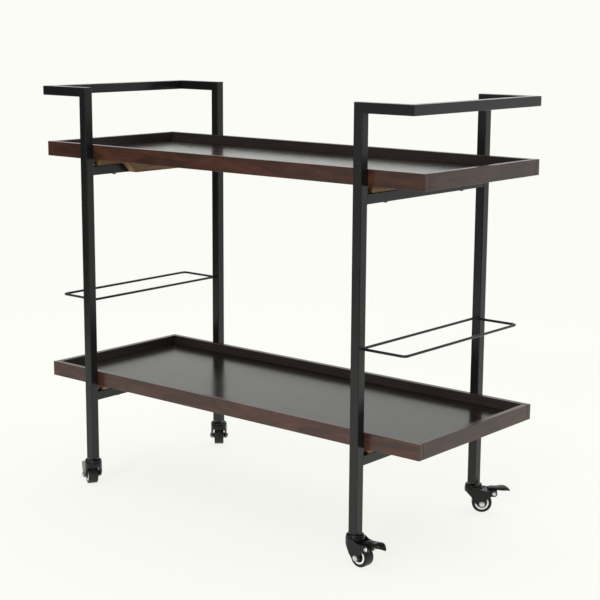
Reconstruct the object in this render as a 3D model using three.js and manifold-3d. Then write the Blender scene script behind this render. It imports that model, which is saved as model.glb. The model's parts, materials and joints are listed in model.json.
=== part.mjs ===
// Serving cart on casters: two shallow wooden trays carried between two welded end frames of
// square steel tube. Each end frame is a pair of legs that turn outward at the top into a
// U-shaped push handle, two cross bars under the trays and a wire rail half way up. Swivel
// casters stand under the legs, and the two at the right-hand end have a foot brake.
//
// Millimetres, +Z up, X along the cart, front at -Y. The origin is the middle of the overall
// box, on the floor.

import * as THREE from 'three';
import { mergeVertices } from 'three/addons/utils/BufferGeometryUtils.js';
import Module from 'manifold-3d';

const wasm = await Module();
wasm.setup();

// ---------------------------------------------------------------- driving dimensions

const LENGTH = 965.2; // over the trays
const DEPTH = 408.9; // over the legs
const HEIGHT = 838.2; // floor to the top of the handles
const GAP = 0.3; // between pieces that touch

// steel frame
const TUBE = 19;
const TUBE_WALL = 1.2;
const TUBE_CORNER = 1.6;
const MITRE_GAP = 0.2; // taken off each mitred end, along the tube
const LEG_X = 351.5; // from the middle to a leg's centre line
const LEG_Y = (DEPTH - TUBE) / 2;
const LEG_FOOT = 61; // lowest point of a leg
const HANDLE_X = 461; // centre line of the handle's grip
const HANDLE_Z = HEIGHT - TUBE / 2;

// wire rail, a closed loop welded between the legs
const WIRE = 5;
const WIRE_Z = 400;
const WIRE_INNER_X = 350;
const WIRE_OUTER_X = 446;
const WIRE_BEND = 8;

// trays
const RIM_HEIGHT = 30;
const RIM_THICK = 12;
const TRAY_DEPTH = 370;
const PANEL_THICK = 6;
const PANEL_SINK = 18.5; // rim top to panel top
const TRAY_TOPS = { upper: 722, lower: 248 };
const BAR_DROP = 43; // rim top to the top of the cross bar

// wooden bearers, rebated over the cross bars and under the panels
const BEARER_LENGTH = 340;
const BLOCK_THICK = 19.5; // beside the bar
const BLOCK_HALF = 86; // half its length along the bottom edge; the ends flare at 45 degrees

// casters
const WHEEL_R = 20;
const TRAIL = 17; // swivel axis to wheel axle
const WHEEL_HALF = 10.4;
const RIM_R = 15.2; // inside of the tyre
const TYRE_STEPS = 36; // flats round the tread
const ARM_INNER = 14; // inner face of a fork arm, from the wheel's mid plane
const ARM_OUTER = 18;
const CROWN_LOW = 42;
const CROWN_TOP = 47;
const HOUSING_R = 18;
const HOUSING_TOP = 59.4;
const STEM_R = 4;
const STEM_TOP = 79;
const COLLAR_R = 8.5;
const AXLE_R = 3;
const AXLE_BOSS = 6.6; // radius of the arm's end round the axle
const NUT_FLAT = 9.6;
const NUT_HIGH = 2.6;

// brake
const PIVOT = new THREE.Vector2(41, 42); // along the trail, above the floor
const PIVOT_R = 2;
const PIVOT_BOSS = 6.3;
const PEDAL_TIP = 74;

// which way each caster trails at rest, in degrees from +X
const CASTERS = [
  { name: 'front_right', x: LEG_X, y: -LEG_Y, heading: -4, brake: true },
  { name: 'rear_right', x: LEG_X, y: LEG_Y, heading: 36, brake: true },
  { name: 'front_left', x: -LEG_X, y: -LEG_Y, heading: 150, brake: false },
  { name: 'rear_left', x: -LEG_X, y: LEG_Y, heading: 131, brake: false },
];

// ---------------------------------------------------------------- materials

const finish = (color, roughness, metalness) => () =>
  new THREE.MeshStandardMaterial({ color, roughness, metalness });
const blackSteel = finish(0x2c2e2e, 0.45, 0.3);
const walnut = finish(0x4a332b, 0.45, 0);
const darkPanel = finish(0x2c2523, 0.3, 0);
const naturalWood = finish(0x8a6a3c, 0.7, 0);
const zinc = finish(0xb8babb, 0.3, 1);
const blackPlastic = finish(0x191a1a, 0.35, 0);
const tyreBlack = finish(0x242524, 0.55, 0);
const chrome = finish(0xd8d8d6, 0.2, 1);

// ---------------------------------------------------------------- building blocks

const cart = new THREE.Group();

function place(parent, name, geometry, material) {
  const mesh = new THREE.Mesh(geometry, material());
  mesh.name = name;
  parent.add(mesh);
  return mesh;
}

function toSolid(geometry) {
  const bare = geometry.index ? geometry.toNonIndexed() : geometry.clone();
  bare.deleteAttribute('normal');
  bare.deleteAttribute('uv');
  const merged = mergeVertices(bare, 1e-4);
  return new wasm.Manifold(
    new wasm.Mesh({
      numProp: 3,
      vertProperties: new Float32Array(merged.attributes.position.array),
      triVerts: new Uint32Array(merged.index.array),
    }),
  );
}

function toGeometry(solid) {
  const mesh = solid.getMesh();
  const geometry = new THREE.BufferGeometry();
  geometry.setAttribute('position', new THREE.BufferAttribute(mesh.vertProperties, 3));
  geometry.setIndex(new THREE.BufferAttribute(mesh.triVerts, 1));
  geometry.computeVertexNormals();
  return geometry;
}

function box(x0, x1, y0, y1, z0, z1) {
  return new THREE.BoxGeometry(x1 - x0, y1 - y0, z1 - z0).translate(
    (x0 + x1) / 2,
    (y0 + y1) / 2,
    (z0 + z1) / 2,
  );
}

// A round bar or ring about the Y axis, from a profile of [radius, y] points.
function turned(profile, sides) {
  const points = profile.map(([r, y]) => new THREE.Vector2(r, y));
  return new THREE.LatheGeometry(points, sides);
}

function cylinder(radius, y0, y1, sides) {
  return new THREE.CylinderGeometry(radius, radius, y1 - y0, sides).translate(0, (y0 + y1) / 2, 0);
}

const upright = (geometry) => geometry.rotateX(Math.PI / 2); // from the Y axis to the Z axis

// An outline in X and Z, given thickness along Y from y0 to y1.
function slab(shape, y0, y1, curveSegments) {
  return new THREE.ExtrudeGeometry(shape, { depth: y1 - y0, bevelEnabled: false, curveSegments })
    .rotateX(Math.PI / 2)
    .translate(0, y1, 0);
}

function squareOutline(target, side, corner) {
  const h = side / 2;
  const c = h - corner;
  target.moveTo(h, -c);
  target.lineTo(h, c);
  target.absarc(c, c, corner, 0, Math.PI / 2);
  target.lineTo(-c, h);
  target.absarc(-c, c, corner, Math.PI / 2, Math.PI);
  target.lineTo(-h, -c);
  target.absarc(-c, -c, corner, Math.PI, 1.5 * Math.PI);
  target.lineTo(c, -h);
  target.absarc(c, -c, corner, 1.5 * Math.PI, 2 * Math.PI);
  return target;
}

// A square tube along +Z. An end's lean is how far the end plane rises per unit along x and y,
// so (0, 0) is a square cut and (-1, 0) is a 45 degree mitre.
function squareTube(length, startLean, endLean) {
  const shape = squareOutline(new THREE.Shape(), TUBE, TUBE_CORNER);
  const inner = TUBE - 2 * TUBE_WALL;
  shape.holes.push(squareOutline(new THREE.Path(), inner, TUBE_CORNER - TUBE_WALL));
  const geometry = new THREE.ExtrudeGeometry(shape, {
    depth: length,
    bevelEnabled: false,
    curveSegments: 3,
  });
  const position = geometry.attributes.position;
  for (let i = 0; i < position.count; i++) {
    const lean = position.getZ(i) > length / 2 ? endLean : startLean;
    const rise = lean[0] * position.getX(i) + lean[1] * position.getY(i);
    position.setZ(i, position.getZ(i) + rise);
  }
  return geometry;
}

const SQUARE = [0, 0];

// Turns a tube so that its own x, y and z lie along the given directions, starting at a point.
function laid(geometry, x, y, z, start) {
  const turn = new THREE.Matrix4().makeBasis(
    new THREE.Vector3(...x),
    new THREE.Vector3(...y),
    new THREE.Vector3(...z),
  );
  return geometry.applyMatrix4(turn).translate(...start);
}

// ---------------------------------------------------------------- end frames

// A closed loop of round wire, flat in X and Y: one ring of points for each station round it.
function wireLoop() {
  const stations = [];
  const halfY = LEG_Y - TUBE / 2 - GAP - WIRE / 2;
  const middleX = (WIRE_INNER_X + WIRE_OUTER_X) / 2;
  const halfX = (WIRE_OUTER_X - WIRE_INNER_X) / 2;
  const stepsPerBend = 4;
  for (let corner = 0; corner < 4; corner++) {
    const signX = corner === 0 || corner === 3 ? 1 : -1;
    const signY = corner < 2 ? 1 : -1;
    for (let step = 0; step <= stepsPerBend; step++) {
      const angle = ((corner + step / stepsPerBend) * Math.PI) / 2;
      const out = new THREE.Vector3(Math.cos(angle), Math.sin(angle), 0);
      const centre = new THREE.Vector3(
        middleX + signX * (halfX - WIRE_BEND),
        signY * (halfY - WIRE_BEND),
        WIRE_Z,
      ).addScaledVector(out, WIRE_BEND);
      stations.push({ centre, out });
    }
  }
  const sides = 10;
  const points = [];
  for (const { centre, out } of stations) {
    for (let side = 0; side < sides; side++) {
      const angle = (side * 2 * Math.PI) / sides;
      const point = centre.clone().addScaledVector(out, (Math.cos(angle) * WIRE) / 2);
      point.z += (Math.sin(angle) * WIRE) / 2;
      points.push(point);
    }
  }
  const faces = [];
  for (let i = 0; i < stations.length; i++) {
    const next = (i + 1) % stations.length;
    for (let side = 0; side < sides; side++) {
      const beside = (side + 1) % sides;
      const a = i * sides + side;
      const b = next * sides + side;
      const c = next * sides + beside;
      const d = i * sides + beside;
      faces.push(a, b, c, a, c, d);
    }
  }
  const geometry = new THREE.BufferGeometry().setFromPoints(points);
  geometry.setIndex(faces);
  geometry.computeVertexNormals();
  return geometry;
}

function crossBar(top) {
  const reach = LEG_Y - TUBE / 2 - GAP;
  return laid(
    squareTube(2 * reach, SQUARE, SQUARE),
    [1, 0, 0],
    [0, 0, -1],
    [0, 1, 0],
    [LEG_X, -reach, top - TUBE / 2],
  );
}

// One end frame, built as the right-hand one. The left one is the same, turned half round.
function buildEndFrame(end, legNames) {
  const frame = new THREE.Group();
  frame.rotation.z = end === 'right' ? 0 : Math.PI;
  cart.add(frame);

  const armLength = HANDLE_X - LEG_X - 2 * MITRE_GAP;
  for (const sign of [-1, 1]) {
    const side = legNames[sign];
    const leg = squareTube(HANDLE_Z - LEG_FOOT - MITRE_GAP, SQUARE, [-1, 0]);
    place(frame, `${end}_${side}_leg`, leg.translate(LEG_X, sign * LEG_Y, LEG_FOOT), blackSteel);
    const arm = laid(
      squareTube(armLength, [1, 0], [0, sign]),
      [0, 0, -1],
      [0, 1, 0],
      [1, 0, 0],
      [LEG_X + MITRE_GAP, sign * LEG_Y, HANDLE_Z],
    );
    place(frame, `${end}_${side}_handle_arm`, arm, blackSteel);
  }
  const grip = laid(
    squareTube(2 * (LEG_Y - MITRE_GAP), [-1, 0], [1, 0]),
    [1, 0, 0],
    [0, 0, -1],
    [0, 1, 0],
    [HANDLE_X, -LEG_Y + MITRE_GAP, HANDLE_Z],
  );
  place(frame, `${end}_handle_grip`, grip, blackSteel);
  for (const [tray, top] of Object.entries(TRAY_TOPS)) {
    place(frame, `${end}_${tray}_cross_bar`, crossBar(top - BAR_DROP), blackSteel);
  }
  place(frame, `${end}_wire_rail`, wireLoop(), blackSteel);
}

// ---------------------------------------------------------------- trays

// A wooden bearer: a strip that fills the space between cross bar and panel, in one piece with
// a block against the bar's inner face, which is longer along the top than along the bottom.
function bearer(barTop, high) {
  const x0 = LEG_X - TUBE / 2 - GAP;
  const half = BEARER_LENGTH / 2;
  const strip = box(x0, LEG_X + TUBE / 2, -half, half, barTop + GAP, high);
  const low = barTop - TUBE;
  const topHalf = BLOCK_HALF + high - low;
  const shape = new THREE.Shape();
  shape.moveTo(-BLOCK_HALF, low);
  shape.lineTo(BLOCK_HALF, low);
  shape.lineTo(topHalf, high);
  shape.lineTo(-topHalf, high);
  const block = laid(
    new THREE.ExtrudeGeometry(shape, { depth: BLOCK_THICK, bevelEnabled: false }),
    [0, 1, 0],
    [0, 0, 1],
    [1, 0, 0],
    [x0 - BLOCK_THICK, 0, 0],
  );
  return toGeometry(toSolid(strip).add(toSolid(block)));
}

function buildTray(level) {
  const top = TRAY_TOPS[level];
  const low = top - RIM_HEIGHT;
  const x = LENGTH / 2;
  const y = TRAY_DEPTH / 2;
  const inX = x - RIM_THICK;
  const inY = y - RIM_THICK;
  place(cart, `${level}_tray_front_rim`, box(-x, x, -y, -inY, low, top), walnut);
  place(cart, `${level}_tray_rear_rim`, box(-x, x, inY, y, low, top), walnut);
  const endHalf = inY - GAP;
  place(cart, `${level}_tray_left_rim`, box(-x, -inX, -endHalf, endHalf, low, top), walnut);
  place(cart, `${level}_tray_right_rim`, box(inX, x, -endHalf, endHalf, low, top), walnut);
  const panelTop = top - PANEL_SINK;
  const panelLow = panelTop - PANEL_THICK;
  place(
    cart,
    `${level}_tray_panel`,
    box(-inX + GAP, inX - GAP, -endHalf, endHalf, panelLow, panelTop),
    darkPanel,
  );
  for (const end of ['left', 'right']) {
    const mesh = place(
      cart,
      `${level}_tray_${end}_bearer`,
      bearer(top - BAR_DROP, panelLow - GAP),
      naturalWood,
    );
    mesh.rotation.z = end === 'right' ? 0 : Math.PI;
  }
}

// ---------------------------------------------------------------- casters

// A plug driven into the foot of each leg, bored for the caster's stem.
function legPlug() {
  const side = TUBE - 2 * TUBE_WALL - 2 * GAP;
  const plug = box(-side / 2, side / 2, -side / 2, side / 2, LEG_FOOT, STEM_TOP + 3);
  const bore = upright(cylinder(STEM_R + GAP, LEG_FOOT - 1, STEM_TOP + GAP, 16));
  return toGeometry(toSolid(plug).subtract(toSolid(bore)));
}

// The fixed stem: threaded end in the plug, collar under the leg, riveted over under the crown.
function stem() {
  const profile = [
    [0, CROWN_LOW - 2.4],
    [6.8, CROWN_LOW - 2.4],
    [6.8, CROWN_LOW - 0.5],
    [STEM_R, CROWN_LOW - 0.5],
    [STEM_R, HOUSING_TOP + GAP],
    [COLLAR_R, HOUSING_TOP + GAP],
    [COLLAR_R, LEG_FOOT - GAP],
    [STEM_R, LEG_FOOT - GAP],
    [STEM_R, STEM_TOP - 1],
    [STEM_R - 1, STEM_TOP],
    [0, STEM_TOP],
  ];
  return upright(turned(profile, 14));
}

// The outline of one fork arm, seen from the side: a broad shoulder under the swivel housing
// that narrows to the axle, and on a braked caster an ear that carries the pedal's pivot.
function armOutline(brake) {
  const shape = new THREE.Shape();
  shape.moveTo(2, 53.5);
  shape.quadraticCurveTo(-9, 53.5, -14, 49);
  shape.quadraticCurveTo(-18, 45, -15.5, 42);
  shape.quadraticCurveTo(-5, 36, -1, 27);
  shape.quadraticCurveTo(3, 19, TRAIL - 3.8, WHEEL_R - 5.4);
  shape.absarc(TRAIL, WHEEL_R, AXLE_BOSS, (-125 * Math.PI) / 180, (15 * Math.PI) / 180, false);
  if (brake) {
    shape.quadraticCurveTo(28, 34, 36, 35.6);
    shape.absarc(PIVOT.x, PIVOT.y, PIVOT_BOSS, -Math.PI / 2, Math.PI / 2, false);
    shape.quadraticCurveTo(34, 47.4, 28, 46.9);
  } else {
    shape.quadraticCurveTo(30, 31, 32, 39);
    shape.quadraticCurveTo(32.5, 45, 28, 46.9);
  }
  shape.lineTo(16.5, 48.4);
  shape.quadraticCurveTo(10, 53.5, 2, 53.5);
  return shape;
}

function fork(brake) {
  const outline = armOutline(brake);
  const near = toSolid(slab(outline, -ARM_OUTER, -ARM_INNER, 5));
  const far = toSolid(slab(outline, ARM_INNER, ARM_OUTER, 5));
  const crown = toSolid(box(-ARM_OUTER, 27, -ARM_OUTER, ARM_OUTER, CROWN_LOW, CROWN_TOP));
  const housing = upright(
    turned(
      [
        [0, CROWN_TOP - 2],
        [HOUSING_R, CROWN_TOP - 2],
        [HOUSING_R, HOUSING_TOP - 5.4],
        [HOUSING_R - 1.6, HOUSING_TOP - 1.8],
        [HOUSING_R - 5, HOUSING_TOP],
        [0, HOUSING_TOP],
      ],
      28,
    ),
  );
  // seen from above, the fork is round about the stem and square at the end over the wheel
  const plan = new THREE.Shape();
  plan.moveTo(PIVOT.x + PIVOT_BOSS + 1, -ARM_OUTER);
  plan.lineTo(PIVOT.x + PIVOT_BOSS + 1, ARM_OUTER);
  plan.lineTo(0, ARM_OUTER);
  plan.absarc(0, 0, ARM_OUTER, Math.PI / 2, 1.5 * Math.PI, false);
  const trim = new THREE.ExtrudeGeometry(plan, {
    depth: LEG_FOOT,
    bevelEnabled: false,
    curveSegments: 10,
  });
  let solid = near.add(far).add(crown).add(toSolid(housing)).intersect(toSolid(trim));
  const bore = upright(cylinder(STEM_R + 0.4, CROWN_LOW - 1, HOUSING_TOP + 1, 14));
  solid = solid.subtract(toSolid(bore));
  const across = ARM_OUTER + 1;
  const axleHole = cylinder(AXLE_R + GAP, -across, across, 14).translate(TRAIL, 0, WHEEL_R);
  solid = solid.subtract(toSolid(axleHole));
  if (brake) {
    const pivotHole = cylinder(PIVOT_R + GAP, -across, across, 12).translate(PIVOT.x, 0, PIVOT.y);
    solid = solid.subtract(toSolid(pivotHole));
  }
  return toGeometry(solid);
}

// The axle: a bolt with a hexagon head, and the nut tightened on its other end.
function axle() {
  const corner = NUT_FLAT / Math.sqrt(3);
  const face = ARM_OUTER + GAP;
  const head = toSolid(cylinder(corner, -face - NUT_HIGH, -face, 6));
  const nut = toSolid(cylinder(corner, face, face + NUT_HIGH, 6));
  const shank = toSolid(cylinder(AXLE_R, -face - 1, face + NUT_HIGH + 1, 14));
  return toGeometry(shank.add(head).add(nut)).translate(TRAIL, 0, WHEEL_R);
}

// The tyre, turned so that one of its flats rests on the floor.
function tyre() {
  const w = WHEEL_HALF;
  const halfStep = Math.PI / TYRE_STEPS;
  const corner = WHEEL_R / Math.cos(halfStep);
  const profile = [
    [RIM_R, -w],
    [corner - 2, -w],
    [corner, -w + 3.2],
    [corner, w - 3.2],
    [corner - 2, w],
    [RIM_R, w],
    [RIM_R, -w],
  ];
  return turned(profile, TYRE_STEPS).rotateY(halfStep).translate(TRAIL, 0, WHEEL_R);
}

// The wheel's hub, with a long boss round the axle and a raised ring round each face.
function hub() {
  const bore = AXLE_R + GAP;
  const boss = 6;
  const ringInner = 10.4;
  const ringOuter = RIM_R - GAP;
  const ringFace = WHEEL_HALF + 0.3;
  const web = 8.6;
  const bossEnd = ARM_INNER - 0.4;
  const profile = [
    [bore, -bossEnd],
    [boss, -bossEnd],
    [boss, -web],
    [ringInner, -web],
    [ringInner, -ringFace],
    [ringOuter, -ringFace],
    [ringOuter, ringFace],
    [ringInner, ringFace],
    [ringInner, web],
    [boss, web],
    [boss, bossEnd],
    [bore, bossEnd],
    [bore, -bossEnd],
  ];
  return turned(profile, 24).translate(TRAIL, 0, WHEEL_R);
}

// The foot pedal: a leaf-shaped tread over the ears, with a lug round the pivot and a nose that
// swings against the tyre when the tread is pushed down.
function pedal() {
  const side = new THREE.Shape();
  side.moveTo(30.5, 47.6);
  side.lineTo(30.2, 50.4);
  side.quadraticCurveTo(30.5, 52.6, 33, 52.8);
  side.lineTo(45, 52.8);
  side.quadraticCurveTo(51, 53, 55, 54.1);
  side.quadraticCurveTo(61, 55.2, 67, 51.4);
  side.quadraticCurveTo(71.5, 47.8, PEDAL_TIP, 42.6);
  side.lineTo(72.6, 41.4);
  side.quadraticCurveTo(65, 44.8, 56, 45.6);
  side.lineTo(47.2, 46.2);
  side.lineTo(47.2, PIVOT.y);
  side.absarc(PIVOT.x, PIVOT.y, PIVOT_BOSS - 0.1, 0, (-100 * Math.PI) / 180, true);
  side.lineTo(35.2, 31.8);
  side.lineTo(34.4, 40);
  side.lineTo(34.8, 47.4);
  const plan = new THREE.Shape();
  plan.moveTo(30, -9);
  plan.lineTo(45, -9.3);
  plan.bezierCurveTo(53, -14.5, 70, -15.5, PEDAL_TIP + 1, 0);
  plan.bezierCurveTo(70, 15.5, 53, 14.5, 45, 9.3);
  plan.lineTo(30, 9);
  const body = toSolid(slab(side, -ARM_INNER, ARM_INNER, 5));
  const leaf = toSolid(
    new THREE.ExtrudeGeometry(plan, { depth: LEG_FOOT, bevelEnabled: false, curveSegments: 8 }),
  );
  const hole = cylinder(PIVOT_R + GAP, -ARM_OUTER, ARM_OUTER, 12).translate(PIVOT.x, 0, PIVOT.y);
  return toGeometry(body.intersect(leaf).subtract(toSolid(hole)));
}

function pivotPin() {
  const head = 4.1;
  const face = ARM_OUTER + GAP;
  const profile = [
    [0, -face - 1.6],
    [head * 0.7, -face - 1.6],
    [head, -face - 0.8],
    [head, -face],
    [PIVOT_R, -face],
    [PIVOT_R, face],
    [head, face],
    [head, face + 0.8],
    [head * 0.7, face + 1.6],
    [0, face + 1.6],
  ];
  return turned(profile, 12).translate(PIVOT.x, 0, PIVOT.y);
}

function buildCaster({ name, x, y, heading, brake }) {
  const caster = new THREE.Group();
  caster.position.set(x, y, 0);
  caster.rotation.z = THREE.MathUtils.degToRad(heading);
  cart.add(caster);
  const plug = place(cart, `${name}_leg_plug`, legPlug(), blackPlastic);
  plug.position.set(x, y, 0);
  place(caster, `${name}_caster_stem`, stem(), zinc);
  place(caster, `${name}_caster_fork`, fork(brake), blackPlastic);
  place(caster, `${name}_axle_bolt`, axle(), zinc);
  place(caster, `${name}_tyre`, tyre(), tyreBlack);
  place(caster, `${name}_wheel_hub`, hub(), chrome);
  if (brake) {
    place(caster, `${name}_brake_pedal`, pedal(), blackPlastic);
    place(caster, `${name}_pedal_pin`, pivotPin(), zinc);
  }
}

// ---------------------------------------------------------------- the whole cart

buildEndFrame('right', { [-1]: 'front', 1: 'rear' });
buildEndFrame('left', { [-1]: 'rear', 1: 'front' });
buildTray('upper');
buildTray('lower');
CASTERS.forEach(buildCaster);

// The casters trail at different angles, so the overall box isn't centred on the frame.
cart.updateMatrixWorld(true);
const overall = new THREE.Box3().setFromObject(cart, true);
cart.position.x = -(overall.min.x + overall.max.x) / 2;
cart.position.y = -(overall.min.y + overall.max.y) / 2;

export default cart;
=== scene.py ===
import json
import math

import bmesh
import bpy
from mathutils import Matrix, Vector, noise


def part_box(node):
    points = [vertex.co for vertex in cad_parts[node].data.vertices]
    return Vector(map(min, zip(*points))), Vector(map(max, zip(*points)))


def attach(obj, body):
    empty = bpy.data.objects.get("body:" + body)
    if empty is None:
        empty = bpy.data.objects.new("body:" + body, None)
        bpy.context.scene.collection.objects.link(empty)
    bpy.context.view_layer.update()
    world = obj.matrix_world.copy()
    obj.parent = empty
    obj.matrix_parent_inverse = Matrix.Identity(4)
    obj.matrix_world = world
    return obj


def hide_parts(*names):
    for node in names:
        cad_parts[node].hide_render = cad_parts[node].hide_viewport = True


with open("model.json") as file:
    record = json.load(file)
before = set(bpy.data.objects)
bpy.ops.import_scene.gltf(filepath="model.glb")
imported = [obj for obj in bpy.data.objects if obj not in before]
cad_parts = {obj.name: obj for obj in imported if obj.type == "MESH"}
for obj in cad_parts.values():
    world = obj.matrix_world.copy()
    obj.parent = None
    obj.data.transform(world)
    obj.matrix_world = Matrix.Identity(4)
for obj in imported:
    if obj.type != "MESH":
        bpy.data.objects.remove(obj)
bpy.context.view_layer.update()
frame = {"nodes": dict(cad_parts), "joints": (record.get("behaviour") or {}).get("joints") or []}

# The looks of the two-tray serving cart. Tubes, boards and panels keep their CAD shape and get
# edges and materials. Casters, wires, welds and screws are modelled here in more detail, at the
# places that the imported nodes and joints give. Lengths are millimetres times MM.

MM = 0.001
JOINTS = {joint["name"]: joint for joint in frame["joints"]}
NODES = frame["nodes"]
FRAME_BODY = "cart_frame"
TUBE_CORNER = 1.6  # outside radius of the square tube's edges

# the camera: a long lens from the front right, a little above
CAMERA_AZIMUTH = 39.83
CAMERA_ELEVATION = 10.91
CAMERA_ROLL = 0.36
CAMERA_LENS = 88.33
CAMERA_FROM_CART = Vector((1.90678, -2.2211, 0.98212))  # from the cart's mid plane, on the floor

# the studio: white paper, with a floor that fades out between two distances from the cart
PAPER = (0.965, 0.974, 0.921, 1.0)
FLOOR_GLOW = 0.86  # the light that the floor gives off itself, so that shadows on it stay faint
FLOOR_SOLID = 1.5
FLOOR_EDGE = 2.4
FLOOR_MARGIN = 0.5
ROOM_DIM = 0.07  # light from every direction that has no other
LIGHTS_LOOK_AT = Vector((0, 0, 0.45))
SENSOR_WIDTH = 36.0
CLIP_NEAR, CLIP_FAR = 0.05, 100.0

# ------------------------------------------------------------------ shader building


class Shader:
    """One material's node tree, fed with numbers, colours or other nodes' outputs."""

    def __init__(self, name):
        self.material = bpy.data.materials.new(name)
        self.material.use_nodes = True
        self.tree = self.material.node_tree
        self.tree.nodes.clear()
        self.skin = self.add("BsdfPrincipled")
        output = self.add("OutputMaterial")
        self.tree.links.new(self.skin.outputs["BSDF"], output.inputs["Surface"])
        self.place = self.add("TexCoord").outputs["Object"]

    def add(self, kind, **settings):
        node = self.tree.nodes.new("ShaderNode" + kind)
        for key, value in settings.items():
            setattr(node, key, value)
        return node

    def feed(self, socket, value):
        if isinstance(value, bpy.types.NodeSocket):
            self.tree.links.new(value, socket)
        else:
            socket.default_value = value

    def math(self, operation, a, b):
        node = self.add("Math", operation=operation)
        self.feed(node.inputs[0], a)
        self.feed(node.inputs[1], b)
        return node.outputs[0]

    def stretch(self, scale):
        node = self.add("Mapping")
        self.feed(node.inputs["Vector"], self.place)
        node.inputs["Scale"].default_value = scale
        return node.outputs["Vector"]

    def noise(self, scale, detail=2.0, roughness=0.5, source=None, distortion=0.0):
        node = self.add("TexNoise")
        self.feed(node.inputs["Vector"], source or self.place)
        node.inputs["Scale"].default_value = scale
        node.inputs["Detail"].default_value = detail
        node.inputs["Roughness"].default_value = roughness
        node.inputs["Distortion"].default_value = distortion
        return node.outputs["Fac"]

    def span(self, value, low, high, to_low=0.0, to_high=1.0):
        node = self.add("MapRange", interpolation_type="SMOOTHSTEP")
        self.feed(node.inputs["Value"], value)
        node.inputs["From Min"].default_value = low
        node.inputs["From Max"].default_value = high
        node.inputs["To Min"].default_value = to_low
        node.inputs["To Max"].default_value = to_high
        return node.outputs["Result"]

    def mix(self, share, a, b):
        node = self.add("Mix", data_type="RGBA", blend_type="MIX")
        self.feed(node.inputs["Factor"], share)
        self.feed(node.inputs["A"], a)
        self.feed(node.inputs["B"], b)
        return node.outputs["Result"]

    def bump(self, height, depth, strength=1.0, normal=None):
        node = self.add("Bump")
        node.inputs["Strength"].default_value = strength
        node.inputs["Distance"].default_value = depth
        self.feed(node.inputs["Height"], height)
        if normal is not None:
            self.feed(node.inputs["Normal"], normal)
        return node.outputs["Normal"]

    def set(self, **values):
        for key, value in values.items():
            self.feed(self.skin.inputs[key.replace("_", " ")], value)
        return self.material


def colour(red, green, blue):
    return (red, green, blue, 1.0)


# ------------------------------------------------------------------ materials


def coated_steel():
    """Satin black powder coat: a fine orange peel, with slight clouding of colour and gloss."""
    s = Shader("black_powder_coat")
    cloud = s.noise(9.0, 3.0)
    peel = s.noise(900.0, 2.0)
    grit = s.noise(2600.0, 1.0)
    tone = s.mix(cloud, colour(0.0065, 0.0072, 0.0072), colour(0.0125, 0.0135, 0.0130))
    rough = s.math("ADD", s.span(peel, 0.3, 0.7, 0.21, 0.28), s.span(cloud, 0.3, 0.7, -0.03, 0.03))
    bumps = s.bump(grit, 0.00003, 0.35, s.bump(peel, 0.00008, 0.5))
    return s.set(Base_Color=tone, Roughness=rough, Normal=bumps, Specular_IOR_Level=0.36)


def stained_board(along):
    """Walnut-stained rim boards, grain along one axis, under lacquer; black on the inside."""
    s = Shader(f"walnut_stain_{along}")
    flow = {"x": (1.0, 4.5, 4.5), "y": (4.5, 1.0, 4.5)}[along]
    fine = {"x": (2.0, 110.0, 110.0), "y": (110.0, 2.0, 110.0)}[along]
    figure = s.noise(9.0, 5.0, 0.62, s.stretch(flow), 1.2)
    fibre = s.noise(6.0, 3.0, 0.6, s.stretch(fine))
    pores = s.noise(14.0, 2.0, 0.5, s.stretch(fine))
    cloud = s.noise(14.0, 3.0, 0.6)
    warm = s.mix(
        s.span(figure, 0.36, 0.66), colour(0.038, 0.0150, 0.0105), colour(0.082, 0.030, 0.0170)
    )
    streaked = s.mix(s.span(fibre, 0.35, 0.72, 0.0, 0.14), warm, colour(0.030, 0.012, 0.008))
    pored = s.mix(s.span(pores, 0.62, 0.72, 0.0, 0.28), streaked, colour(0.016, 0.008, 0.006))
    toned = s.mix(s.span(cloud, 0.42, 0.7, 0.0, 0.5), pored, colour(0.030, 0.013, 0.010))
    inside = s.mix(figure, colour(0.024, 0.018, 0.017), colour(0.038, 0.028, 0.026))
    painted = s.mix(inward_share(s), toned, inside)
    rough = s.span(fibre, 0.3, 0.75, 0.24, 0.36)
    bumps = s.bump(fibre, 0.00010, 0.3, s.bump(s.span(pores, 0.6, 0.75), 0.0001, -0.5))
    return s.set(Base_Color=painted, Roughness=rough, Normal=bumps)


def inward_share(s):
    """1 on board faces that look at the middle of the cart, 0 on their outer faces and tops."""
    low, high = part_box("upper_tray_panel")
    place = s.add("VectorMath", operation="MULTIPLY_ADD")
    s.feed(place.inputs[0], s.place)
    place.inputs[1].default_value = (1.0, 1.0, 0.0)
    place.inputs[2].default_value = (0.0, -(low.y + high.y) / 2, 0.0)
    outward = s.add("VectorMath", operation="DOT_PRODUCT")
    s.feed(outward.inputs[0], place.outputs["Vector"])
    s.feed(outward.inputs[1], s.add("NewGeometry").outputs["True Normal"])
    return s.span(s.math("MULTIPLY", outward.outputs["Value"], -1.0), 0.02, 0.08)


def dark_veneer():
    """The tray floor: near-black stained veneer, fine straight grain, glossy lacquer."""
    s = Shader("dark_veneer")
    lay = s.stretch((1.0, 22.0, 22.0))
    figure = s.noise(4.0, 4.0, 0.6, lay, 0.8)
    fibre = s.noise(9.0, 3.0, 0.6, s.stretch((1.6, 120.0, 120.0)))
    cloud = s.noise(3.0, 2.0)
    base = s.mix(
        s.span(figure, 0.35, 0.7), colour(0.006, 0.005, 0.004), colour(0.022, 0.012, 0.008)
    )
    grain = s.mix(s.span(fibre, 0.4, 0.75, 0.0, 0.7), base, colour(0.005, 0.004, 0.0035))
    rough = s.math("ADD", s.span(fibre, 0.3, 0.75, 0.14, 0.24), s.span(cloud, 0.3, 0.7, 0.0, 0.04))
    bumps = s.bump(fibre, 0.00005, 0.35, s.bump(figure, 0.0001, 0.08))
    return s.set(Base_Color=grain, Roughness=rough, Normal=bumps)


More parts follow.
